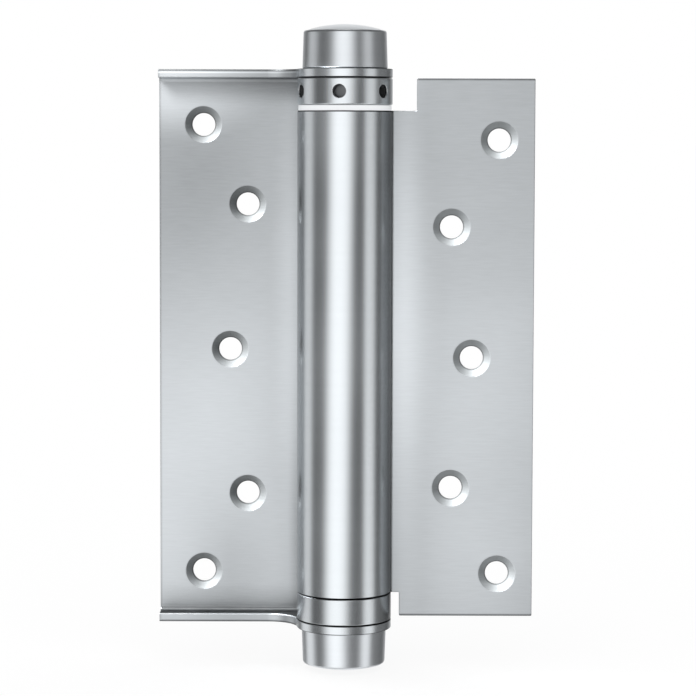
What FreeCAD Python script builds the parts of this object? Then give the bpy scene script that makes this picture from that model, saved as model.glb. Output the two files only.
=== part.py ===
import FreeCAD, Part
import math
import os

# Single-action spring hinge, laid open flat, in millimetres.
# Z is the pivot axis, with the origin on it midway between the two flanges.
# X runs from the frame leaf to the door leaf, Y from the front to the mounting face.

# Sheet and overall sizes
sheet = 2.25
flange_height = 150.0
barrel_diameter = 25.4

# Frame leaf
frame_leaf_reach = 50.25
lip_depth = 6.7
lip_sweep_radius = 8.0
bend_radius = 1.2
barrel_clearance = 0.4
lip_edge_chamfer = 0.15
bend_relief = 0.4

# Door leaf
door_leaf_reach = 50.65
top_notch_reach = 19.2
bottom_notch_reach = 14.9
leaf_corner_radius = 0.3
root_radius = 0.4
seam_gap = 0.5
barrel_end_chamfer = 0.35

# Countersunk screw holes, as distances from the pivot axis and from mid-height
screw_hole_diameter = 6.2
countersink_diameter = 9.9
frame_outer_row = 38.3
frame_inner_row = 26.3
frame_middle_hole = 31.1
frame_outer_half_span = 61.0
frame_inner_half_span = 39.5
frame_pattern_level = -0.8
door_outer_row = 41.2
door_inner_row = 28.6
door_middle_hole = 34.1
door_outer_half_span = 58.3
door_inner_half_span = 35.1
door_pattern_level = -2.1

# Spindle and caps
spindle_diameter = 9.0
spindle_end_length = 8.0
spindle_end_chamfer = 0.6
cap_foot_diameter = 22.7
cap_end_diameter = 22.1
top_cap_wall_height = 10.05
bottom_cap_wall_height = 9.5
cap_dome_height = 1.8
cap_edge_height = 0.4
cap_edge_inset = 0.2
cap_foot_chamfer = 0.3
cap_bore_relief = 0.6

# Collars
collar_height = 7.15
collar_gap = 0.15
collar_chamfer = 0.25
winding_hole_count = 6
winding_hole_diameter = 3.6
winding_hole_depth = 5.6
front_hole_angle = -97.0
back_hole_index = 3
anchor_depth = 6.0
bottom_spigot_length = 10.0
key_width = 5.0
key_height = 3.5

# Nylon bearing ring
bearing_flange_thickness = 1.4
bearing_flange_inset = 0.3
bearing_sleeve_wall = 1.4
bearing_sleeve_length = 8.0

# Torsion spring
spring_wire_width = 6.0
spring_wire_thickness = 2.4
spring_clearance = 1.0
spring_coil_gap = 0.3
spring_facets = 12
tang_width = 3.0

# Stop pin
stop_pin_reach = 1.4
stop_pin_tip_chamfer = 0.4

# Fits
running_clearance = 0.05
seat_clearance = 0.05
end_play = 0.1
slot_clearance = 0.15
door_leaf_top_clearance = 0.2
door_leaf_bottom_clearance = 0.9

# Levels and radii that follow from the sizes above
barrel_radius = barrel_diameter / 2
bore_radius = barrel_radius - sheet
spindle_radius = spindle_diameter / 2
flange_outside = flange_height / 2
flange_inside = flange_outside - sheet
mounting_face = barrel_radius
plate_front = mounting_face - sheet
lip_front = mounting_face - lip_depth
bend_line = mounting_face - bend_radius - sheet
plate_inner_edge = -math.sqrt((barrel_radius + barrel_clearance) ** 2 - plate_front ** 2)
eye_end_x = -math.sqrt(barrel_radius ** 2 - bend_line ** 2)
top_collar_foot = flange_inside - collar_gap - collar_height
barrel_top = top_collar_foot - end_play - bearing_flange_thickness
barrel_foot = -flange_inside + collar_gap + collar_height
sleeve_outer_radius = bore_radius - seat_clearance
sleeve_inner_radius = sleeve_outer_radius - bearing_sleeve_wall
spigot_radius = sleeve_inner_radius - running_clearance
sleeve_foot = barrel_top - bearing_sleeve_length
upper_anchor_face = sleeve_foot - anchor_depth
lower_anchor_face = barrel_foot + bottom_spigot_length
spring_outer_radius = bore_radius - spring_clearance
spring_inner_radius = spring_outer_radius - spring_wire_thickness
spring_tang = anchor_depth - 2 * slot_clearance
slot_depth = anchor_depth - slot_clearance


def vector(x, y, z):
    return FreeCAD.Vector(x, y, z)


def cylinder(radius, foot, top):
    """Upright cylinder on the pivot axis between two levels."""
    return Part.makeCylinder(radius, top - foot, vector(0, 0, foot))


def revolved(edges):
    """Solid turned about the pivot axis from a closed half-section in the XZ plane."""
    face = Part.Face(Part.Wire(edges))
    return face.revolve(vector(0, 0, 0), vector(0, 0, 1), 360)


def lines(points, closed=False):
    """Straight edges through the points in order."""
    ends = points[1:] + points[:1] if closed else points[1:]
    return [Part.LineSegment(start, end).toShape() for start, end in zip(points, ends)]


def chamfered_disc(radius, foot, top, chamfer):
    """Disc on the pivot axis with both rims chamfered."""
    profile = [
        vector(0, 0, foot),
        vector(radius - chamfer, 0, foot),
        vector(radius, 0, foot + chamfer),
        vector(radius, 0, top - chamfer),
        vector(radius - chamfer, 0, top),
        vector(0, 0, top),
    ]
    return revolved(lines(profile, closed=True))


def countersunk_hole(x, z, front, back):
    """Cutter for one screw hole, sunk from the front face."""
    hole_radius = screw_hole_diameter / 2
    sink_radius = countersink_diameter / 2
    hole = Part.makeCylinder(hole_radius, back - front, vector(x, front, z), vector(0, 1, 0))
    sink = Part.makeCone(sink_radius, hole_radius, sink_radius - hole_radius,
                         vector(x, front, z), vector(0, 1, 0))
    return hole.fuse(sink)


def drill_leaf(leaf, side, front, outer, inner, middle, outer_span, inner_span, level):
    """Cut the five staggered screw holes of one leaf."""
    places = [(middle, 0.0)]
    for end in (-1, 1):
        places.append((outer, end * outer_span))
        places.append((inner, end * inner_span))
    for reach, height in places:
        leaf = leaf.cut(countersunk_hole(side * reach, level + height, front, front + sheet))
    return leaf


def bent_plate():
    """Plate of the frame leaf with the two bends that lead into its flanges."""
    outer_bend = bend_radius + sheet
    diagonal = math.sqrt(0.5)
    straight = flange_outside - outer_bend
    edges = []
    for end in (1, -1):
        for face, radius in ((mounting_face, outer_bend), (plate_front, bend_radius)):
            middle = vector(0, bend_line + radius * diagonal, end * (straight + radius * diagonal))
            edges.append(Part.Arc(vector(0, face, end * straight), middle,
                                  vector(0, bend_line, end * (straight + radius))).toShape())
        edges += lines([vector(0, bend_line, end * flange_outside),
                        vector(0, bend_line, end * flange_inside)])
    for face in (mounting_face, plate_front):
        edges += lines([vector(0, face, straight), vector(0, face, -straight)])
    section = Part.Face(Part.Wire(Part.__sortEdges__(edges)))
    section.translate(vector(-frame_leaf_reach, 0, 0))
    bends = section.extrude(vector(frame_leaf_reach + eye_end_x - bend_relief, 0, 0))
    half = straight - bend_relief
    inner_strip = Part.makeBox(plate_inner_edge - eye_end_x + bend_relief, sheet, 2 * half,
                               vector(eye_end_x - bend_relief, plate_front, -half))
    return bends.fuse(inner_strip)


def flange(foot):
    """Flat flange: a straight lip that sweeps forward into the round eye."""
    sweep_y = lip_front - lip_sweep_radius
    reach = barrel_radius + lip_sweep_radius
    sweep_x = -math.sqrt(reach ** 2 - sweep_y ** 2)
    sweep_centre = vector(sweep_x, sweep_y, foot)
    lip_end = vector(sweep_x, lip_front, foot)
    eye_start = vector(sweep_x * barrel_radius / reach, sweep_y * barrel_radius / reach, foot)
    towards_corner = ((lip_end + eye_start) * 0.5 - sweep_centre).normalize()
    sweep_middle = sweep_centre + towards_corner * lip_sweep_radius
    eye_end = vector(eye_end_x, bend_line, foot)
    front = lines([vector(-frame_leaf_reach, lip_front, foot), lip_end])
    front.append(Part.Arc(lip_end, sweep_middle, eye_start).toShape())
    front.append(Part.Arc(eye_start, vector(barrel_radius, 0, foot), eye_end).toShape())
    back = lines([eye_end, vector(-frame_leaf_reach, bend_line, foot),
                  vector(-frame_leaf_reach, lip_front, foot)])
    plate = Part.Face(Part.Wire(front + back)).extrude(vector(0, 0, sheet))
    rims = [edge for edge in plate.Edges if is_front_rim(edge)]
    return plate.makeChamfer(lip_edge_chamfer, rims)


def is_front_rim(edge):
    """True for the flat edges along the lip, the sweep and the eye."""
    middle = edge.valueAt((edge.FirstParameter + edge.LastParameter) / 2)
    on_eye = abs(math.hypot(middle.x, middle.y) - barrel_radius) < 0.001
    on_lip = middle.y < lip_front + 0.001 and middle.x > -frame_leaf_reach + 0.001
    return edge.BoundBox.ZLength < 0.001 and (on_eye or on_lip)


def frame_leaf():
    leaf = bent_plate().fuse([flange(flange_inside), flange(-flange_outside)]).removeSplitter()
    leaf = leaf.cut(cylinder(spindle_radius + seat_clearance, -flange_outside, flange_outside))
    return drill_leaf(leaf, -1, plate_front, frame_outer_row, frame_inner_row, frame_middle_hole,
                      frame_outer_half_span, frame_inner_half_span, frame_pattern_level)


def leaf_plate():
    """Flat part of the door leaf, notched at both inner corners."""
    top = flange_inside - door_leaf_top_clearance
    foot = door_leaf_bottom_clearance - flange_inside
    front = -sheet / 2
    outline = [
        vector(bore_radius, front, barrel_foot),
        vector(bottom_notch_reach, front, barrel_foot),
        vector(bottom_notch_reach, front, foot),
        vector(door_leaf_reach, front, foot),
        vector(door_leaf_reach, front, top),
        vector(top_notch_reach, front, top),
        vector(top_notch_reach, front, barrel_top),
        vector(bore_radius, front, barrel_top),
    ]
    plate = Part.Face(Part.Wire(lines(outline, closed=True))).extrude(vector(0, sheet, 0))
    corners = [edge for edge in plate.Edges
               if edge.BoundBox.YLength > sheet / 2 and edge.BoundBox.XMin > bore_radius + sheet]
    return plate.makeFillet(leaf_corner_radius, corners)


def rolled_barrel():
    """Barrel with chamfered ends, closed up to a narrow seam behind the leaf."""
    barrel = chamfered_disc(barrel_radius, barrel_foot, barrel_top, barrel_end_chamfer)
    seam = Part.makeBox(barrel_diameter, seam_gap, flange_height,
                        vector(0, sheet / 2, -flange_outside))
    return barrel.cut(seam)


def root_edges(leaf, radius, face):
    """Upright edges where one face of the flat part meets the barrel's outside or its bore."""
    root_x = math.sqrt(radius ** 2 - face ** 2)
    found = []
    for edge in leaf.Edges:
        middle = edge.valueAt((edge.FirstParameter + edge.LastParameter) / 2)
        if math.hypot(middle.x - root_x, middle.y - face) < 0.001:
            found.append(edge)
    return found


def key_slot(clearance):
    """Block at the back of the barrel's foot, for the key and for the slot that it fits."""
    width = key_width + 2 * clearance
    return Part.makeBox(width, barrel_radius, key_height + 2 * clearance,
                        vector(-width / 2, 0, barrel_foot - clearance))


def door_leaf():
    leaf = leaf_plate().fuse(rolled_barrel()).removeSplitter()
    leaf = leaf.makeFillet(root_radius, root_edges(leaf, barrel_radius, -sheet / 2))
    leaf = leaf.cut(cylinder(bore_radius, -flange_outside, flange_outside))
    leaf = leaf.makeFillet(root_radius + sheet, root_edges(leaf, bore_radius, sheet / 2))
    leaf = leaf.cut(key_slot(seat_clearance))
    return drill_leaf(leaf, 1, -sheet / 2, door_outer_row, door_inner_row, door_middle_hole,
                      door_outer_half_span, door_inner_half_span, door_pattern_level)


def spindle():
    end = flange_outside + spindle_end_length
    return chamfered_disc(spindle_radius, -end, end, spindle_end_chamfer)


def cap(wall_height):
    """Domed cap nut standing on the upper flange."""
    foot = flange_outside
    shoulder = foot + wall_height
    crown = shoulder + cap_dome_height
    foot_radius = cap_foot_diameter / 2
    end_radius = cap_end_diameter / 2
    rim_radius = end_radius - cap_edge_inset
    dome_radius = (rim_radius ** 2 + cap_dome_height ** 2) / (2 * cap_dome_height)
    rise = math.asin(rim_radius / dome_radius) / 2
    dome_middle = vector(dome_radius * math.sin(rise), 0,
                         crown - dome_radius * (1 - math.cos(rise)))
    edges = lines([
        vector(0, 0, crown),
        vector(0, 0, foot),
        vector(foot_radius - cap_foot_chamfer, 0, foot),
        vector(foot_radius, 0, foot + cap_foot_chamfer),
        vector(end_radius, 0, shoulder - cap_edge_height),
        vector(rim_radius, 0, shoulder),
    ])
    edges.append(Part.Arc(vector(rim_radius, 0, shoulder), dome_middle,
                          vector(0, 0, crown)).toShape())
    bore_end = foot + spindle_end_length + cap_bore_relief
    return revolved(edges).cut(cylinder(spindle_radius + seat_clearance, foot, bore_end))


def winding_hole(index, radius, start, end):
    """Radial cylinder at one of the evenly spaced holes of the tension collar."""
    angle = math.radians(front_hole_angle + index * 360.0 / winding_hole_count)
    outward = vector(math.cos(angle), math.sin(angle), 0)
    centre = outward * start
    centre.z = top_collar_foot + collar_height / 2
    return Part.makeCylinder(radius, end - start, centre, outward)


def tang_slot(foot, start):
    """Cutter for the slot that holds a tang of the spring, milled through one side of a spigot."""
    width = tang_width + 2 * slot_clearance
    return Part.makeBox(barrel_radius, width, slot_depth, vector(0, start - slot_clearance, foot))


def tension_collar():
    collar = chamfered_disc(barrel_radius, top_collar_foot, top_collar_foot + collar_height,
                            collar_chamfer)
    collar = collar.fuse(cylinder(spigot_radius, upper_anchor_face, top_collar_foot))
    collar = collar.cut(cylinder(spindle_radius + running_clearance, upper_anchor_face,
                                 flange_outside))
    floor = barrel_radius - winding_hole_depth
    for index in range(winding_hole_count):
        collar = collar.cut(winding_hole(index, winding_hole_diameter / 2, floor, barrel_diameter))
    return collar.cut(tang_slot(upper_anchor_face, -tang_width))


def stop_pin():
    floor = barrel_radius - winding_hole_depth
    tip = barrel_radius + stop_pin_reach
    radius = winding_hole_diameter / 2 - seat_clearance
    pin = winding_hole(back_hole_index, radius, floor, tip)
    outer_end = max(pin.Edges, key=lambda edge: edge.BoundBox.YMax)
    return pin.makeChamfer(stop_pin_tip_chamfer, [outer_end])


def bearing_ring():
    flange_top = barrel_top + bearing_flange_thickness
    ring = cylinder(barrel_radius - bearing_flange_inset, barrel_top, flange_top)
    ring = ring.fuse(cylinder(sleeve_outer_radius, sleeve_foot, barrel_top))
    return ring.cut(cylinder(sleeve_inner_radius, sleeve_foot, flange_top))


def bottom_collar():
    foot = -flange_inside + collar_gap
    collar = chamfered_disc(barrel_radius, foot, barrel_foot, collar_chamfer)
    spigot = cylinder(bore_radius - seat_clearance, barrel_foot, lower_anchor_face)
    key = key_slot(0).common(cylinder(barrel_radius, barrel_foot, lower_anchor_face))
    collar = collar.fuse([spigot, key]).removeSplitter()
    collar = collar.cut(cylinder(spindle_radius + running_clearance, foot, lower_anchor_face))
    return collar.cut(tang_slot(lower_anchor_face - slot_depth, 0))


def flat_face(corners):
    """Plane face through the corners in order."""
    return Part.Face(Part.makePolygon(corners + corners[:1]))


def wire_section(angle, level):
    """Corners of the flat wire at one place of the coil: inner low, outer low, outer high, inner high."""
    outward = vector(math.cos(angle), math.sin(angle), 0)
    inner = outward * spring_inner_radius
    outer = outward * spring_outer_radius
    low = vector(0, 0, level)
    high = vector(0, 0, level + spring_wire_width)
    return [inner + low, outer + low, outer + high, inner + high]


def torsion_spring():
    """Coil of flat wire in plane facets, with an axial tang at each end."""
    foot = lower_anchor_face + end_play
    top = upper_anchor_face - end_play
    rise = top - foot - spring_wire_width
    steps = spring_facets * int(rise / (spring_wire_width + spring_coil_gap))
    sections = [wire_section(2 * math.pi * step / spring_facets, foot + rise * step / steps)
                for step in range(steps + 1)]
    faces = [flat_face(sections[0]), flat_face(sections[-1])]
    for here, ahead in zip(sections, sections[1:]):
        faces.append(flat_face([here[1], ahead[1], ahead[2], here[2]]))
        faces.append(flat_face([here[0], here[3], ahead[3], ahead[0]]))
        faces.append(flat_face([here[0], ahead[0], ahead[1]]))
        faces.append(flat_face([here[0], ahead[1], here[1]]))
        faces.append(flat_face([here[3], here[2], ahead[2]]))
        faces.append(flat_face([here[3], ahead[2], ahead[3]]))
    shell = Part.makeShell(faces)
    shell.sewShape()
    coil = Part.makeSolid(shell)
    tang_length = spring_tang + spring_wire_width / 2
    lower_tang = Part.makeBox(spring_wire_thickness, tang_width, tang_length,
                              vector(spring_inner_radius, 0, foot - spring_tang))
    upper_tang = Part.makeBox(spring_wire_thickness, tang_width, tang_length,
                              vector(spring_inner_radius, -tang_width, top + spring_tang - tang_length))
    return coil.fuse([lower_tang, upper_tang])


def turned_over(shape):
    """The same piece at the other end of the hinge."""
    copy = shape.copy()
    copy.rotate(vector(0, 0, 0), vector(1, 0, 0), 180)
    return copy


os.makedirs("parts", exist_ok=True)
pieces = {
    "frame_leaf": frame_leaf(),
    "door_leaf": door_leaf(),
    "spindle": spindle(),
    "end_caps": Part.makeCompound([cap(top_cap_wall_height),
                                   turned_over(cap(bottom_cap_wall_height))]),
    "tension_collar": tension_collar(),
    "stop_pin": stop_pin(),
    "bearing_ring": bearing_ring(),
    "bottom_collar": bottom_collar(),
    "torsion_spring": torsion_spring(),
}
for name, shape in pieces.items():
    shape.exportStep("parts/" + name + ".step")
    print(name, len(shape.Solids), shape.isValid(), round(shape.Volume, 1))
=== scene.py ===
import math

import bpy
from bpy.props import FloatProperty, FloatVectorProperty, PointerProperty
from mathutils import Matrix, Vector


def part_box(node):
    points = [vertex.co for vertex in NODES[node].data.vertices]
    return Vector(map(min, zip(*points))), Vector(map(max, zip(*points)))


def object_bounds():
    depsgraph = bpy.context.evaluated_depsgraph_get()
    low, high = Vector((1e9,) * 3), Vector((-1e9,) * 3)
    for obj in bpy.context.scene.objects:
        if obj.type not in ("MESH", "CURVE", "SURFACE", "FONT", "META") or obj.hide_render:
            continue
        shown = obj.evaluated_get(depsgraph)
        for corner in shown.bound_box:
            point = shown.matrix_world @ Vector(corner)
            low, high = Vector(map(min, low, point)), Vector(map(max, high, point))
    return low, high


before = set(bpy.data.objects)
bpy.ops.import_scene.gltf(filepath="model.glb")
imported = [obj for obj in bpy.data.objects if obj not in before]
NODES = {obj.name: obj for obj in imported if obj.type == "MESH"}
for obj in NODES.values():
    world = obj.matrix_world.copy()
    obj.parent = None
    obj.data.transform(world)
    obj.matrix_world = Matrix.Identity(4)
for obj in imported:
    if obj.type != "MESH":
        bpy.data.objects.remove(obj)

cad_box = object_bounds()

bl_info = {
    "name": "Spring hinge",
    "version": (1, 0, 0),
    "blender": (4, 5, 0),
    "location": "3D View > Sidebar > Hinge",
    "description": "Finishes of a single-action spring hinge and the small studio that it stands in",
    "category": "Object",
}

# Sizes of the solids, in metres. The lips are LIP_DEPTH deep, and their insides lie at LIP_LEVEL.
BARREL_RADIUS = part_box("tension_collar")[1].x
SHEET = 0.00225
LIP_DEPTH = 0.0067
LIP_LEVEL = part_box("frame_leaf")[1].z - SHEET

# Where one finish gives way to another, in metres.
# A drilled hole is plated down to PLATED_DEPTH and raw from RAW_DEPTH on.
PLATED_DEPTH = 0.0005
RAW_DEPTH = 0.0008
# A countersink grows darker between these distances from the back of its leaf.
RIM_START = 0.0008
RIM_FULL = 0.0005
# The rolled finish ends between these distances outside the barrel.
ROLLED_FULL = 0.0001
ROLLED_END = 0.0004
# The painted highlight on the edge of a lip is this wide, and a lip is told from the other one by its
# side of mid-height.
LIP_EDGE = 0.001
MIDDLE = 0.01

# What a face is, by a part of its normal: limits between which a mask rises, or rises and falls again.
COUNTERSINK = (0.5, 0.6, 0.85, 0.95)
SLOPE = (0.2, 0.4, 0.93, 0.98)
UPPER_INSIDE = (0.05, 0.3)
LOWER_BEND = (0.08, 0.3)
LOWER_FLAT = (0.9, 0.99)
LOWER_FLAT_SHARE = 0.2
UPWARD = (0.1, 0.3)

# The painted dark outline of a leaf is at full strength in this share of its width.
# The painted glint on the upper lip lies between these depths, in widths of the outline, on the lip's
# front.
OUTLINE_CORE = 0.3
GLINT = (0.8, 1.0, 1.25, 1.7)
LIP_FRONT = (0.97, 0.93)

# An edge counts as sharp where the rounded normal leaves the true one: 1 less the cosine, at first and in
# full.
SHARP_EDGE_START = 0.004
SHARP_EDGE_FULL = 0.07

# Openness at which a joint is fully darkened with dirt and painted shade, and at which it is not
# darkened.
FULLY_DARK_JOINT = 0.4
UNDARKENED_JOINT = 0.95

# Heights of bumps in metres, and how far a finish changes the roughness.
LINE_HEIGHT = 0.00002
LINE_ROUGHNESS = 0.02
CLOUD_ROUGHNESS = 0.08
EDGE_POLISH = 0.04
CHAMFER_ROUGHNESS = 0.6
SPECKLE_HEIGHT = 0.00005
SPECKLE_ROUGHNESS = 0.1

# Nylon: speckles and clouds in a metre, and how much they change its tone.
SPECKLES = 900
NYLON_CLOUDS = 60
SPECKLE_TONE = 0.02
CLOUD_TONE = 0.03

# Softboxes round the hinge, in degrees. Azimuth 0 lies behind the camera and 90 to its right.
# Each row: azimuth, half width, soft edge, lowest, highest, soft edge of these, brightness, lean.
# The lean is the azimuth, in radians, by which a softbox moves to the right for a rise of 1.
SOFTBOXES = (
    (-8, 0, 38, -24, 9, 12, 1.18, 1.0),
    (-101, 3, 23, -30, -4, 20, 0.76, 0.5),
    (65, 2, 19, -30, -4, 20, 0.90, 0.1),
    (104, 2, 26, -30, 18, 12, 0.05, 0.3),
    (180, 0, 10, -30, 30, 14, 0.50, 0.0),
    (180, 0, 45, -30, 25, 14, 0.42, 0.0),
)

# Sines of the angles at which the softbox overhead and the floor begin and are at full brightness.
OVERHEAD = (0.94, 0.985)
FLOOR = (0.40, 0.75)

# Painted sheen and shade: brighter and darker patches painted into the sheet's colour, in metres.
# Each row: place along X and Z, half width, half height, strength.
PLAIN_TONE = 0.77
PAINTED_SHEEN_PATCHES = (
    (-0.050, -0.032, 0.052, 0.068, 0.43),
    (-0.020, 0.000, 0.034, 0.080, 0.17),
    (-0.046, 0.071, 0.030, 0.017, 0.61),
    (-0.038, 0.048, 0.035, 0.032, -0.13),
    (0.011, 0.010, 0.016, 0.070, 0.49),
    (0.034, -0.022, 0.040, 0.060, 0.23),
    (0.040, 0.000, 0.060, 0.120, 0.20),
    (0.013, 0.000, 0.010, 0.200, 0.28),
    (0.034, -0.066, 0.040, 0.045, 0.25),
    (-0.048, -0.068, 0.020, 0.030, 0.15),
    (-0.028, -0.058, 0.030, 0.026, -0.06),
    (-0.017, -0.066, 0.016, 0.036, 0.20),
    (-0.013, 0.010, 0.008, 0.080, 0.25),
    (-0.0127, -0.048, 0.003, 0.048, -0.20),
    (-0.030, 0.074, 0.060, 0.004, -0.12),
)


class Socket:
    """One output of a shader node. Arithmetic on it adds Math nodes."""

    def __init__(self, shader, output):
        self.shader = shader
        self.output = output

    def maths(self, operation, *values):
        return self.shader.node("ShaderNodeMath", {"operation": operation}, values)

    def __add__(self, other):
        return self.maths("ADD", self, other)

    __radd__ = __add__

    def __sub__(self, other):
        return self.maths("SUBTRACT", self, other)

    def __rsub__(self, other):
        return self.maths("SUBTRACT", other, self)

    def __mul__(self, other):
        return self.maths("MULTIPLY", self, other)

    __rmul__ = __mul__

    def __truediv__(self, other):
        return self.maths("DIVIDE", self, other)

    def __pow__(self, other):
        return self.maths("POWER", self, other)

    def __abs__(self):
        return self.maths("ABSOLUTE", self)


class Shader:
    """The nodes of one material or of the world, built from nothing."""

    def __init__(self, owner):
        owner.use_nodes = True
        self.tree = owner.node_tree
        self.tree.nodes.clear()

    def node(self, kind, settings=None, inputs=(), output=0):
        """Add a node: its settings first, then a value or a link for each socket."""
        made = self.tree.nodes.new(kind)
        for name, value in (settings or {}).items():
            setattr(made, name, value)
        pairs = inputs.items() if isinstance(inputs, dict) else enumerate(inputs)
        for key, value in pairs:
            if isinstance(value, Socket):
                self.tree.links.new(value.output, made.inputs[key])
            else:
                made.inputs[key].default_value = value
        return Socket(self, made.outputs[output]) if made.outputs else made

    def split(self, vector):
        """The three numbers of a vector."""
        return [self.node("ShaderNodeSeparateXYZ", None, [vector], axis) for axis in range(3)]

    def joined(self, x, y, z):
        return self.node("ShaderNodeCombineXYZ", None, [x, y, z])

    def step(self, value, start, end):
        """0 before start, 1 after end and smooth between them."""
        return self.node("ShaderNodeMapRange", {"interpolation_type": "SMOOTHSTEP"},
                         [value, start, end, 0, 1])

    def band(self, value, start, full, fading, end):
        """0 before start and after end, 1 between full and fading."""
        return self.step(value, start, full) * (1 - self.step(value, fading, end))

    def noise(self, vector, detail):
        return self.node("ShaderNodeTexNoise", None,
                         {"Vector": vector, "Scale": 1.0, "Detail": detail, "Roughness": 0.5})

    def scaled(self, vector, factor):
        """A colour or a place times a number."""
        return self.node("ShaderNodeVectorMath", {"operation": "SCALE"}, {0: vector, "Scale": factor})

    def mixed(self, factor, first, second):
        """The first colour where factor is 0, the second where it is 1."""
        first, second = (c if isinstance(c, Socket) else (*c, 1) for c in (first, second))
        return self.node("ShaderNodeMix", {"data_type": "RGBA"}, {0: factor, 6: first, 7: second}, 2)


def finish_groups():
    """The settings of the finishes and of the stage."""
    scene = bpy.context.scene
    return scene.hinge_finish, scene.hinge_stage


def rest_place(shader):
    """Place on the piece in metres, which stays with the piece when it turns."""
    return shader.node("ShaderNodeTexCoord", None, (), 3)


def true_normal(shader):
    """The normal of the face itself, without rounding."""
    return shader.node("ShaderNodeNewGeometry", None, (), 1)


def rounded_edges(shader, radius):
    """Rounded normal, and a mask that is 1 along sharp edges."""
    rounded = shader.node("ShaderNodeBevel", {"samples": 8}, {"Radius": radius})
    facing = shader.node("ShaderNodeVectorMath", {"operation": "DOT_PRODUCT"},
                         [rounded, true_normal(shader)], 1)
    return rounded, shader.step(1 - facing, SHARP_EDGE_START, SHARP_EDGE_FULL)


def openness(shader, reach, own_shape=False):
    """1 on open faces, less within reach of a joint, or of an inner corner of the piece's own shape."""
    return shader.node("ShaderNodeAmbientOcclusion", {"samples": 8, "only_local": own_shape},
                       {"Distance": reach}, 1)


def off_axis(shader):
    """Distance from the pivot axis."""
    x, y, _ = shader.split(rest_place(shader))
    return (x * x + y * y) ** 0.5


def grain_lines(shader, finish):
    """Fine grain that runs across the sheet."""
    x, y, z = shader.split(rest_place(shader))
    length = finish.grain_length
    return shader.noise(shader.joined(x / length, y / length, z / finish.grain_pitch), detail=3.0)


def turning_lines(shader, finish):
    """Lines that run round the pivot axis, fainter than the grain."""
    z = shader.split(rest_place(shader))[2]
    lines = shader.noise(shader.joined(0.5, 0.5, z / finish.turning_pitch), detail=2.0)
    return 0.5 + finish.turning_share * (lines - 0.5)


def mottle(shader, fineness, detail):
    """Even mottling with so many spots in a metre."""
    return shader.noise(shader.scaled(rest_place(shader), fineness), detail)


def painted_sheen_tone(shader):
    """Brightness of the sheet, with its broad patches of painted sheen and shade."""
    x, _, z = shader.split(rest_place(shader))
    tone = PLAIN_TONE
    for along, up, half_width, half_height, strength in PAINTED_SHEEN_PATCHES:
        sideways = (x - along) / half_width
        upward = (z - up) / half_height
        off_centre = (sideways * sideways + upward * upward) ** 0.5
        tone = tone + strength * (1 - shader.step(off_centre, 0, 1))
    return tone


def metal_surface(shader, finish, colour, roughness, lines, tone, rounded):
    """Plated metal: lines in the finish, uneven tone, and joints darkened with dirt and painted shade."""
    cloud = mottle(shader, 1 / finish.cloud_size, detail=1.5) - 0.5
    tone = tone + cloud * finish.unevenness + (lines - 0.5) * finish.line_tone
    # Joints are darkened with dirt and painted shade.
    joint = shader.step(openness(shader, finish.joint_reach), FULLY_DARK_JOINT, UNDARKENED_JOINT)
    tone = tone * (finish.joint_tone + (1 - finish.joint_tone) * joint)
    normal = shader.node("ShaderNodeBump", None, {
        "Strength": finish.line_depth, "Distance": LINE_HEIGHT, "Height": lines, "Normal": rounded})
    return shader.node("ShaderNodeBsdfPrincipled", None, {
        "Base Color": shader.scaled(colour, tone),
        "Metallic": 1.0,
        "Roughness": roughness + (lines - 0.5) * LINE_ROUGHNESS + cloud * CLOUD_ROUGHNESS,
        "Normal": normal,
    })


def turned_surface(shader, finish, colour, roughness, shade=1):
    """Turned or drawn steel: fine lines round the axis, and rubbed edges that are also brightened as a
    painted highlight.
    """
    rounded, sharp_edge = rounded_edges(shader, finish.edge_radius)
    return metal_surface(shader, finish, colour, roughness - sharp_edge * EDGE_POLISH,
                         turning_lines(shader, finish), shade * (1 + sharp_edge * finish.edge_tone), rounded)


def new_material(name):
    material = bpy.data.materials.new(name)
    return material, Shader(material)


def use_surface(shader, surface):
    shader.node("ShaderNodeOutputMaterial", None, {"Surface": surface})


def dress(node, material):
    """Give a solid of the frame its finish."""
    slots = NODES[node].data.materials
    slots.clear()
    slots.append(material)


def slanted_faces(shader):
    """Four masks: countersinks, sloping edges, and the insides of the upper and of the lower lip.

    They go by the normal, which points to the back by depth and upwards by rise.
    """
    _, depth, rise = shader.split(shader.node("ShaderNodeTexCoord", None, (), 1))
    z = shader.split(rest_place(shader))[2]
    bend = shader.step(abs(z), LIP_LEVEL - SHEET, LIP_LEVEL - 0.75 * SHEET)
    countersink = shader.band(abs(depth), *COUNTERSINK) * (1 - bend)
    slope = shader.band(abs(rise), *SLOPE)
    upper = bend * shader.step(-1 * rise, *UPPER_INSIDE) * shader.step(z, 0, MIDDLE)
    lower = (1 - LOWER_FLAT_SHARE) * shader.step(rise, *LOWER_BEND)
    lower = lower + LOWER_FLAT_SHARE * shader.step(rise, *LOWER_FLAT)
    return countersink, slope, upper, bend * lower * shader.step(-1 * z, 0, MIDDLE)


def outline(shader, finish, node):
    """Mask of the painted dark outline: 1 along the upper and lower edges of a leaf, less along its left
    edge.
    """
    low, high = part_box(node)
    limits = (OUTLINE_CORE * finish.outline_width, finish.outline_width)
    x, _, z = shader.split(rest_place(shader))
    from_ends = z.maths("MINIMUM", high.z - z, z - low.z)
    along_ends = 1 - shader.step(from_ends, *limits)
    along_side = 1 - shader.step(x - low.x, *limits)
    return along_ends.maths("MAXIMUM", along_ends, finish.side_share * along_side)


def painted_lip_glint(shader, finish, node, back):
    """1 along the painted highlight line under the upper edge of the upper lip, just below its outline.
    """
    _, y, z = shader.split(rest_place(shader))
    outlines_down = (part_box(node)[1].z - z) / finish.outline_width
    front = 1 - shader.step(y, *(back - share * LIP_DEPTH for share in LIP_FRONT))
    return shader.band(outlines_down, *GLINT) * front


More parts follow.
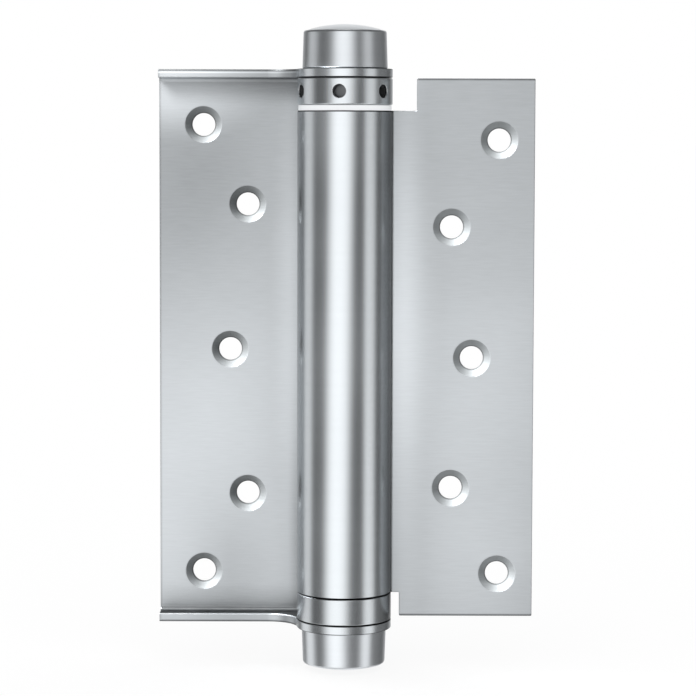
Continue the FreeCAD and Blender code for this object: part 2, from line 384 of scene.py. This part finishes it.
def rolled_part(shader):
    """1 on what is rolled round the pivot: the barrel of the door leaf and the eyes of the frame leaf."""
    return 1 - shader.step(off_axis(shader), BARREL_RADIUS + ROLLED_FULL, BARREL_RADIUS + ROLLED_END)


def sheet_material(name, node, back, corner, flat_painted_shade, rolled_painted_shade):
    """Satin plated sheet, smooth where it is rolled round the pivot and raw where it is countersunk.

    back is the place of the leaf's back along Y, and corner gives the openness from which shade is
    painted on the sheet.
    """
    finish, _ = finish_groups()
    material, shader = new_material(name)
    _, y, z = shader.split(rest_place(shader))
    rolled = rolled_part(shader)
    flat = 1 - rolled
    rounded, sharp_edge = rounded_edges(shader, finish.sheet_edge_radius)
    normal = shader.mixed(rolled, rounded, true_normal(shader))
    countersink, slope, upper, lower = slanted_faces(shader)
    cut = countersink * flat
    chamfer = slope * rolled
    edge = outline(shader, finish, node)

    colour = shader.mixed(rolled, finish.sheet_colour, finish.turned_colour)
    colour = shader.mixed(cut, colour, finish.cut_colour)
    roughness = finish.sheet_roughness + rolled * (finish.turned_roughness - finish.sheet_roughness)
    roughness = roughness + cut * (finish.cut_roughness - finish.sheet_roughness)
    roughness = roughness + chamfer * CHAMFER_ROUGHNESS
    grain = grain_lines(shader, finish)
    lines = grain + rolled * (turning_lines(shader, finish) - grain)

    # Painted sheen and shade: broad brighter and darker patches on the flat sheet.
    tone = 1 + flat * (1 - cut) * (painted_sheen_tone(shader) - 1)
    # Painted shade beside the lips of the frame leaf, and on the barrel beside the leaves.
    tone = tone * corner(shader) ** (flat * (1 - upper) * flat_painted_shade + rolled * rolled_painted_shade)
    # Painted shade inside the bend of the lower lip.
    tone = tone * (1 - finish.bend_painted_shade * lower * flat * (1 - sharp_edge))
    rim = shader.step(y, back - RIM_START, back - RIM_FULL)
    # Countersinks are darker beside their holes.
    tone = tone * (1 - finish.rim_darkening * cut * rim)
    # Painted shade: a dark outline along the edges of the leaves.
    tone = tone * (1 - finish.outline_painted_shade * edge * flat)
    # Painted shade on the chamfers of the barrel and of the eyes.
    tone = tone * (1 - finish.chamfer_painted_shade * chamfer)
    # Painted highlight: a bright line under the upper lip's edge.
    tone = tone * (1 + finish.painted_lip_glint * painted_lip_glint(shader, finish, node, back) * flat)
    # Painted highlight along the upward-facing upper edge of the lower lip.
    inside_lip = shader.step(abs(z), LIP_LEVEL - LIP_EDGE, LIP_LEVEL)
    upward = shader.step(shader.split(normal)[2], *UPWARD) * (1 - edge)
    tone = tone * (1 + finish.lip_edge_painted_highlight * sharp_edge * inside_lip * upward * flat)
    use_surface(shader, metal_surface(shader, finish, colour, roughness, lines, tone, normal))
    return material


def turned_material(name, colour, roughness, beside_leaf=False):
    """Turned or drawn steel of one colour, with shade painted where a leaf stands close beside it."""
    finish, _ = finish_groups()
    material, shader = new_material(name)
    # Painted shade where a leaf stands close beside the piece.
    shade = openness(shader, finish.root_reach) ** finish.root_painted_shade if beside_leaf else 1
    use_surface(shader, turned_surface(shader, finish, colour, roughness, shade))
    return material


def drilled_material(name):
    """Turned steel that is left raw and dark in its drilled holes."""
    finish, _ = finish_groups()
    material, shader = new_material(name)
    plated = shader.step(off_axis(shader), BARREL_RADIUS - RAW_DEPTH, BARREL_RADIUS - PLATED_DEPTH)
    colour = shader.mixed(plated, finish.bore_colour, finish.turned_colour)
    roughness = finish.bore_roughness + plated * (finish.turned_roughness - finish.bore_roughness)
    use_surface(shader, turned_surface(shader, finish, colour, roughness))
    return material


def nylon_material(name):
    """White moulded nylon, slightly uneven."""
    finish, _ = finish_groups()
    material, shader = new_material(name)
    speckle = mottle(shader, SPECKLES, detail=3.0) - 0.5
    cloud = mottle(shader, NYLON_CLOUDS, detail=1.0)
    tone = 1 - CLOUD_TONE * (1 - cloud) + speckle * SPECKLE_TONE
    bump = shader.node("ShaderNodeBump", None, {
        "Strength": finish.nylon_depth, "Distance": SPECKLE_HEIGHT, "Height": speckle})
    use_surface(shader, shader.node("ShaderNodeBsdfPrincipled", None, {
        "Base Color": shader.scaled(finish.nylon_colour, tone),
        "Roughness": finish.nylon_roughness + speckle * SPECKLE_ROUGHNESS,
        "Normal": bump,
    }))
    return material


class HingeFinish(bpy.types.PropertyGroup):
    """Colours and surface sizes of the hinge's finishes, and the light and shade painted into them."""

    sheet_colour: FloatVectorProperty(
        name="Sheet", description="Satin plated sheet of the two leaves",
        default=(0.545, 0.570, 0.590), subtype="COLOR", min=0, max=1)
    turned_colour: FloatVectorProperty(
        name="Turned steel", description="Collars and the ground barrel",
        default=(0.743, 0.779, 0.806), subtype="COLOR", min=0, max=1)
    cap_colour: FloatVectorProperty(
        name="Caps", description="Domed caps",
        default=(0.847, 0.885, 0.917), subtype="COLOR", min=0, max=1)
    bright_colour: FloatVectorProperty(
        name="Bright steel", description="Spindle and stop pin",
        default=(0.62, 0.63, 0.65), subtype="COLOR", min=0, max=1)
    spring_colour: FloatVectorProperty(
        name="Spring wire", description="Oiled spring wire",
        default=(0.26, 0.26, 0.28), subtype="COLOR", min=0, max=1)
    nylon_colour: FloatVectorProperty(
        name="Nylon", description="Moulded bearing ring",
        default=(0.950, 0.968, 0.985), subtype="COLOR", min=0, max=1)
    cut_colour: FloatVectorProperty(
        name="Countersinks", description="Raw steel of the countersinks",
        default=(0.45, 0.47, 0.48), subtype="COLOR", min=0, max=1)
    bore_colour: FloatVectorProperty(
        name="Bores", description="Raw steel in drilled holes",
        default=(0.36, 0.37, 0.38), subtype="COLOR", min=0, max=1)
    sheet_roughness: FloatProperty(
        name="Sheet roughness", description="Mean roughness of the sheet",
        default=0.42, min=0, max=1, subtype="FACTOR")
    turned_roughness: FloatProperty(
        name="Turned roughness", description="Mean roughness of collars and barrel",
        default=0.25, min=0, max=1, subtype="FACTOR")
    cap_roughness: FloatProperty(
        name="Cap roughness", description="Mean roughness of the caps",
        default=0.31, min=0, max=1, subtype="FACTOR")
    bright_roughness: FloatProperty(
        name="Bright roughness", description="Mean roughness of the spindle and the pin",
        default=0.22, min=0, max=1, subtype="FACTOR")
    cut_roughness: FloatProperty(
        name="Countersink roughness", description="Mean roughness of the countersinks",
        default=0.75, min=0, max=1, subtype="FACTOR")
    bore_roughness: FloatProperty(
        name="Bore roughness", description="Mean roughness in drilled holes",
        default=0.5, min=0, max=1, subtype="FACTOR")
    nylon_roughness: FloatProperty(
        name="Nylon roughness", description="Mean roughness of the bearing ring",
        default=0.45, min=0, max=1, subtype="FACTOR")
    nylon_depth: FloatProperty(
        name="Nylon depth", description="Strength of the speckles in the nylon",
        default=0.15, min=0, max=1, subtype="FACTOR")
    spring_roughness: FloatProperty(
        name="Spring roughness", description="Mean roughness of the wire",
        default=0.38, min=0, max=1, subtype="FACTOR")
    unevenness: FloatProperty(
        name="Unevenness", description="How uneven the tone of the plating is",
        default=0.12, min=0, max=1, subtype="FACTOR")
    line_depth: FloatProperty(
        name="Line depth", description="Strength of the grain and of the turning lines",
        default=0.05, min=0, max=1, subtype="FACTOR")
    line_tone: FloatProperty(
        name="Line tone", description="How much brighter or darker single lines are",
        default=0.14, min=0, max=1, subtype="FACTOR")
    grain_pitch: FloatProperty(
        name="Grain pitch", description="Width of one line of the sheet's grain",
        default=0.0004, min=0.00005, unit="LENGTH", precision=5)
    grain_length: FloatProperty(
        name="Grain length", description="Length of one line of the sheet's grain",
        default=0.005, min=0.0005, unit="LENGTH", precision=4)
    turning_pitch: FloatProperty(
        name="Turning pitch", description="Width of one turning line",
        default=0.0005, min=0.00005, unit="LENGTH", precision=5)
    turning_share: FloatProperty(
        name="Turning share", description="Strength of the turning lines, as a share of the grain's",
        default=0.4, min=0, max=1, subtype="FACTOR")
    cloud_size: FloatProperty(
        name="Cloud size", description="Size of the uneven patches in the plating",
        default=0.030, min=0.001, unit="LENGTH", precision=4)
    edge_radius: FloatProperty(
        name="Edge radius", description="Rounding that the finish gives to the edges of turned pieces",
        default=0.00025, min=0, unit="LENGTH", precision=5)
    # Edges of turned pieces are rubbed, and brightened in colour as a painted highlight.
    edge_tone: FloatProperty(
        name="Edge tone", description="How much brighter or darker the edges of turned pieces are",
        default=0.30, min=-1, max=1)
    sheet_edge_radius: FloatProperty(
        name="Sheet edge radius", description="Rounding that the finish gives to the sheet's edges",
        default=0.0004, min=0, unit="LENGTH", precision=5)
    # The next three settings give painted shade: a dark outline along the edges of the leaves.
    outline_width: FloatProperty(
        name="Outline width", description="Width of the dull line along the edges of the leaves",
        default=0.0007, min=0, unit="LENGTH", precision=5)
    side_share: FloatProperty(
        name="Side share", description="Strength of the line along a leaf's left edge, as a share",
        default=0.35, min=0, max=1, subtype="FACTOR")
    outline_painted_shade: FloatProperty(
        name="Outline dulling", description="How dull the edges of the leaves are",
        default=0.65, min=0, max=1, subtype="FACTOR")
    # Painted shade on the chamfers of the barrel and of the eyes.
    chamfer_painted_shade: FloatProperty(
        name="Chamfer dulling", description="How dull the chamfers of the barrel and of the eyes are",
        default=0.90, min=0, max=1, subtype="FACTOR")
    # Painted highlight on the upper edge of the lower lip.
    lip_edge_painted_highlight: FloatProperty(
        name="Lip edge tone", description="How much brighter the upper edge of the lower lip is",
        default=0.80, min=-1, max=1)
    # Painted highlight under the upper lip's edge.
    painted_lip_glint: FloatProperty(
        name="Lip glint", description="How much brighter the line under the upper lip's edge is",
        default=0.55, min=0)
    # Painted shade inside the bend of the lower lip.
    bend_painted_shade: FloatProperty(
        name="Bend dulling", description="How dull the inside of the lower lip is",
        default=0.87, min=0, max=1, subtype="FACTOR")
    # Countersinks are darker beside their holes.
    rim_darkening: FloatProperty(
        name="Rim dulling", description="How dull the countersinks are beside their holes",
        default=0.50, min=0, max=1, subtype="FACTOR")
    # Joints are darkened with dirt and painted shade.
    joint_tone: FloatProperty(
        name="Joint tone", description="Brightness of the dirt in the joints",
        default=0.45, min=0, max=1, subtype="FACTOR")
    joint_reach: FloatProperty(
        name="Joint reach", description="How far dirt reaches out of the joints",
        default=0.0008, min=0, unit="LENGTH", precision=5)
    # Painted shade on the frame leaf beside its lips.
    lip_reach: FloatProperty(
        name="Lip reach", description="How far the frame leaf is dulled beside its lips",
        default=0.0078, min=0, unit="LENGTH", precision=4)
    lip_painted_shade: FloatProperty(
        name="Lip dulling", description="How strongly the frame leaf is dulled beside its lips",
        default=1.4, min=0)
    # Painted shade on the barrel and the bottom collar beside the leaves.
    root_reach: FloatProperty(
        name="Root reach", description="How far the barrel is dulled beside the leaves",
        default=0.050, min=0, unit="LENGTH", precision=4)
    root_painted_shade: FloatProperty(
        name="Root dulling", description="How strongly the barrel is dulled beside the leaves",
        default=4.8, min=0)


class HingeStage(bpy.types.PropertyGroup):
    """Camera, floor and light of the studio."""

    camera_distance: FloatProperty(
        name="Camera distance", description="From the lens to the pivot axis",
        default=0.667, min=0.1, unit="LENGTH", precision=4)
    camera_height: FloatProperty(
        name="Camera height", description="Of the lens above mid-height of the hinge",
        default=0.0587, unit="LENGTH", precision=4)
    camera_side: FloatProperty(
        name="Camera side", description="Of the lens and its aim beside the pivot axis",
        default=0.00094, unit="LENGTH", precision=5)
    aim_height: FloatProperty(
        name="Aim height", description="Where the lens points on the pivot axis, above mid-height",
        default=0.0117, unit="LENGTH", precision=4)
    focal_length: FloatProperty(
        name="Focal length", description="Of the lens on a 36 mm sensor",
        default=129.07, min=1, unit="CAMERA")
    shift: FloatProperty(
        name="Shift", description="Rise or fall of the lens, as a share of the frame",
        default=-0.060)
    roll: FloatProperty(
        name="Roll", description="Turn of the camera about its line of sight",
        default=math.radians(0.146), subtype="ANGLE")
    floor_colour: FloatVectorProperty(
        name="Floor", description="Pale floor and white surroundings",
        default=(1.0, 1.0, 1.0), subtype="COLOR", min=0, max=1)
    floor_size: FloatProperty(
        name="Floor size", description="Half the length of a side of the floor",
        default=30.0, min=0.2, unit="LENGTH")
    shadow_share: FloatProperty(
        name="Shadow", description="Share of the hinge's shadow that the floor shows",
        default=0.15, min=0, max=1, subtype="FACTOR")
    room_light: FloatProperty(
        name="Room light", description="Soft light from all sides on matt surfaces",
        default=1.0, min=0)
    dark_level: FloatProperty(
        name="Dark level", description="Brightness between the softboxes, as metal shows it",
        default=0.12, min=0)
    overhead_level: FloatProperty(
        name="Overhead", description="Brightness of the softbox above the hinge",
        default=1.8, min=0)
    floor_level: FloatProperty(
        name="Floor in the metal", description="Brightness of the floor, as metal shows it",
        default=0.55, min=0)
    lamp_strength: FloatProperty(
        name="Lamp", description="Strength of the small lamp above and to the left, on the leaves",
        default=9.0, min=0)
    lamp_azimuth: FloatProperty(
        name="Lamp azimuth", description="Of the small lamp, to the left of the camera",
        default=math.radians(50), subtype="ANGLE")
    lamp_height: FloatProperty(
        name="Lamp height", description="Angle of the small lamp above the horizon",
        default=math.radians(45), subtype="ANGLE")
    lamp_size: FloatProperty(
        name="Lamp size", description="Angle across the small lamp, seen from the hinge",
        default=math.radians(30), min=0, subtype="ANGLE")


class HINGE_OT_leaves(bpy.types.Operator):
    """Finish the frame leaf and the door leaf with its barrel"""

    bl_idname = "hinge.leaves"
    bl_label = "Leaves"

    def execute(self, context):
        finish, _ = finish_groups()
        dress("frame_leaf", sheet_material(
            "satin sheet, frame leaf", "frame_leaf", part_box("frame_leaf")[1].y,
            lambda shader: openness(shader, finish.lip_reach, True), finish.lip_painted_shade, 0))
        dress("door_leaf", sheet_material(
            "satin sheet, door leaf", "door_leaf", SHEET / 2,
            lambda shader: openness(shader, finish.root_reach), 0, finish.root_painted_shade))
        return {"FINISHED"}


class HINGE_OT_turned(bpy.types.Operator):
    """Finish the caps and the two collars"""

    bl_idname = "hinge.turned"
    bl_label = "Caps and collars"

    def execute(self, context):
        finish, _ = finish_groups()
        dress("end_caps", turned_material("satin caps", finish.cap_colour, finish.cap_roughness))
        dress("bottom_collar", turned_material(
            "satin turned steel", finish.turned_colour, finish.turned_roughness, True))
        dress("tension_collar", drilled_material("satin turned steel, drilled"))
        return {"FINISHED"}


class HINGE_OT_bearing(bpy.types.Operator):
    """Finish the white bearing ring"""

    bl_idname = "hinge.bearing"
    bl_label = "Bearing ring"

    def execute(self, context):
        dress("bearing_ring", nylon_material("white nylon"))
        return {"FINISHED"}


class HINGE_OT_inner(bpy.types.Operator):
    """Finish the spindle, the stop pin and the torsion spring"""

    bl_idname = "hinge.inner"
    bl_label = "Spindle, pin and spring"

    def execute(self, context):
        finish, _ = finish_groups()
        bright = turned_material("bright steel", finish.bright_colour, finish.bright_roughness)
        dress("spindle", bright)
        dress("stop_pin", bright)
        dress("torsion_spring", turned_material(
            "oiled spring wire", finish.spring_colour, finish.spring_roughness))
        return {"FINISHED"}


def studio_world(stage):
    """White to the eye, even light on matt surfaces, softboxes between dark gaps in the metal."""
    world = bpy.data.worlds.new("studio")
    bpy.context.scene.world = world
    world.cycles.sampling_method = "NONE"
    shader = Shader(world)
    x, y, z = shader.split(shader.node("ShaderNodeTexCoord", None, (), 0))
    around = x.maths("ARCTAN2", x, -1 * y)
    glow = stage.dark_level + stage.overhead_level * shader.step(z, *OVERHEAD)
    glow = glow + stage.floor_level * shader.step(-1 * z, *FLOOR)
    for azimuth, half, edge, lowest, highest, rim, brightness, lean in SOFTBOXES:
        off_centre = around - lean * z - math.radians(azimuth)
        towards = off_centre.maths("COSINE", off_centre)
        across = shader.step(towards, *(math.cos(math.radians(angle)) for angle in (half + edge, half)))
        heights = (lowest - rim, lowest, highest, highest + rim)
        upright = shader.band(z, *(math.sin(math.radians(angle)) for angle in heights))
        glow = glow + brightness * across * upright
    in_metal = shader.node("ShaderNodeLightPath", None, (), "Is Glossy Ray")
    to_eye = shader.node("ShaderNodeLightPath", None, (), "Is Camera Ray")
    seen = stage.room_light * (1 - in_metal) * (1 - to_eye) + glow * in_metal + to_eye
    background = shader.node("ShaderNodeBackground", None, {"Color": (1, 1, 1, 1), "Strength": seen})
    shader.node("ShaderNodeOutputWorld", None, {"Surface": background})


def studio_lamp(stage):
    """Small lamp above and to the left, which brings out the countersinks."""
    data = bpy.data.lights.new("lamp", "SUN")
    data.energy = stage.lamp_strength
    data.angle = stage.lamp_size
    lamp = bpy.data.objects.new("lamp", data)
    lamp.rotation_euler = (math.pi / 2 - stage.lamp_height, 0, -stage.lamp_azimuth)
    lit = bpy.data.collections.new("lit by the lamp")
    lit.objects.link(NODES["frame_leaf"])
    lit.objects.link(NODES["door_leaf"])
    lamp.light_linking.receiver_collection = lit
    bpy.context.scene.collection.objects.link(lamp)


def studio_floor(stage):
    """Pale floor under the hinge, with a light shadow. The world shows it to the metal."""
    size = stage.floor_size
    height = cad_box[0].z
    mesh = bpy.data.meshes.new("floor")
    corners = [(-size, -size, height), (size, -size, height), (size, size, height), (-size, size, height)]
    mesh.from_pydata(corners, [], [(0, 1, 2, 3)])
    floor = bpy.data.objects.new("floor", mesh)
    bpy.context.scene.collection.objects.link(floor)
    floor.visible_glossy = False
    floor.visible_shadow = False
    material, shader = new_material("pale floor")
    colour = (*stage.floor_colour, 1)
    matt = shader.node("ShaderNodeBsdfDiffuse", None, {"Color": colour})
    plain = shader.node("ShaderNodeEmission", None, {"Color": colour})
    to_eye = shader.node("ShaderNodeLightPath", None, (), "Is Camera Ray")
    use_surface(shader, shader.node("ShaderNodeMixShader", None,
                                    [to_eye * (1 - stage.shadow_share), matt, plain]))
    mesh.materials.append(material)


def studio_camera(stage):
    """Camera at the photograph's place, aimed at the pivot axis."""
    data = bpy.data.cameras.new("camera")
    data.lens = stage.focal_length
    data.sensor_width = 36.0
    data.shift_y = stage.shift
    camera = bpy.data.objects.new("camera", data)
    lens = Vector((stage.camera_side, -stage.camera_distance, stage.camera_height))
    aim = Vector((stage.camera_side, 0.0, stage.aim_height))
    turn = (aim - lens).to_track_quat("-Z", "Y").to_matrix() @ Matrix.Rotation(stage.roll, 3, "Z")
    camera.matrix_world = Matrix.Translation(lens) @ turn.to_4x4()
    bpy.context.scene.collection.objects.link(camera)
    bpy.context.scene.camera = camera


class HINGE_OT_stage(bpy.types.Operator):
    """Set the floor, the light and the camera"""

    bl_idname = "hinge.stage"
    bl_label = "Stage"

    def execute(self, context):
        _, stage = finish_groups()
        context.scene.view_settings.view_transform = "Standard"
        studio_world(stage)
        studio_lamp(stage)
        studio_floor(stage)
        studio_camera(stage)
        return {"FINISHED"}


class HINGE_PT_panel(bpy.types.Panel):
    """Finishes and stage of the hinge"""

    bl_idname = "HINGE_PT_panel"
    bl_label = "Spring hinge"
    bl_space_type = "VIEW_3D"
    bl_region_type = "UI"
    bl_category = "Hinge"

    def draw(self, context):
        for settings in finish_groups():
            box = self.layout.box()
            for name in settings.__annotations__:
                box.prop(settings, name)
        for operator in OPERATORS:
            self.layout.operator(operator.bl_idname)


OPERATORS = (HINGE_OT_leaves, HINGE_OT_turned, HINGE_OT_bearing, HINGE_OT_inner, HINGE_OT_stage)
CLASSES = (HingeFinish, HingeStage, *OPERATORS, HINGE_PT_panel)


def register():
    for item in CLASSES:
        bpy.utils.register_class(item)
    bpy.types.Scene.hinge_finish = PointerProperty(type=HingeFinish)
    bpy.types.Scene.hinge_stage = PointerProperty(type=HingeStage)


def unregister():
    del bpy.types.Scene.hinge_stage
    del bpy.types.Scene.hinge_finish
    for item in reversed(CLASSES):
        bpy.utils.unregister_class(item)


def main():
    register()
    bpy.ops.hinge.leaves()
    bpy.ops.hinge.turned()
    bpy.ops.hinge.bearing()
    bpy.ops.hinge.inner()
    bpy.ops.hinge.stage()


if __name__ == "__main__":
    main()
